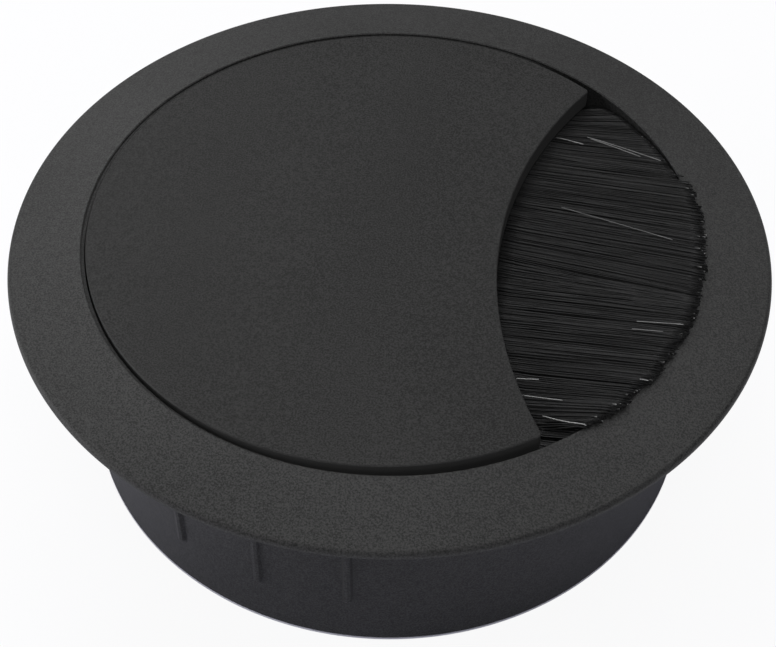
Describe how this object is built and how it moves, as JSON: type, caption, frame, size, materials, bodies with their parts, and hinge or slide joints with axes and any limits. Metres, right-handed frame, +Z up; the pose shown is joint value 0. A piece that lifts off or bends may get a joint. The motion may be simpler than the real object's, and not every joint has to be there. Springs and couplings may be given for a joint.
{
  "type": "brush cable grommet",
  "caption": "Round black plastic desk grommet: a flanged sleeve with a drop-in cover, whose crescent cut-out is closed by a strip brush that lets cables through.",
  "frame": {"origin": "middle of the sleeve's lower end, on the sleeve's axis", "axes": "+Z up along the sleeve's axis, +X from the axis towards the middle of the crescent cut-out"},
  "size_m": [0.095, 0.095, 0.0321],
  "materials": {
    "black_plastic": "injection moulded, fine spark-eroded grain",
    "folded_steel": "zinc-plated steel",
    "brush_nylon": "drawn filaments with a slight gloss"
  },
  "bodies": {
    "root": {"flanged_sleeve": "black_plastic", "cover": "black_plastic", "brush_channel": "folded_steel", "brush_core_wire": "folded_steel", "bristles": "brush_nylon"}
  },
  "joints": []
}
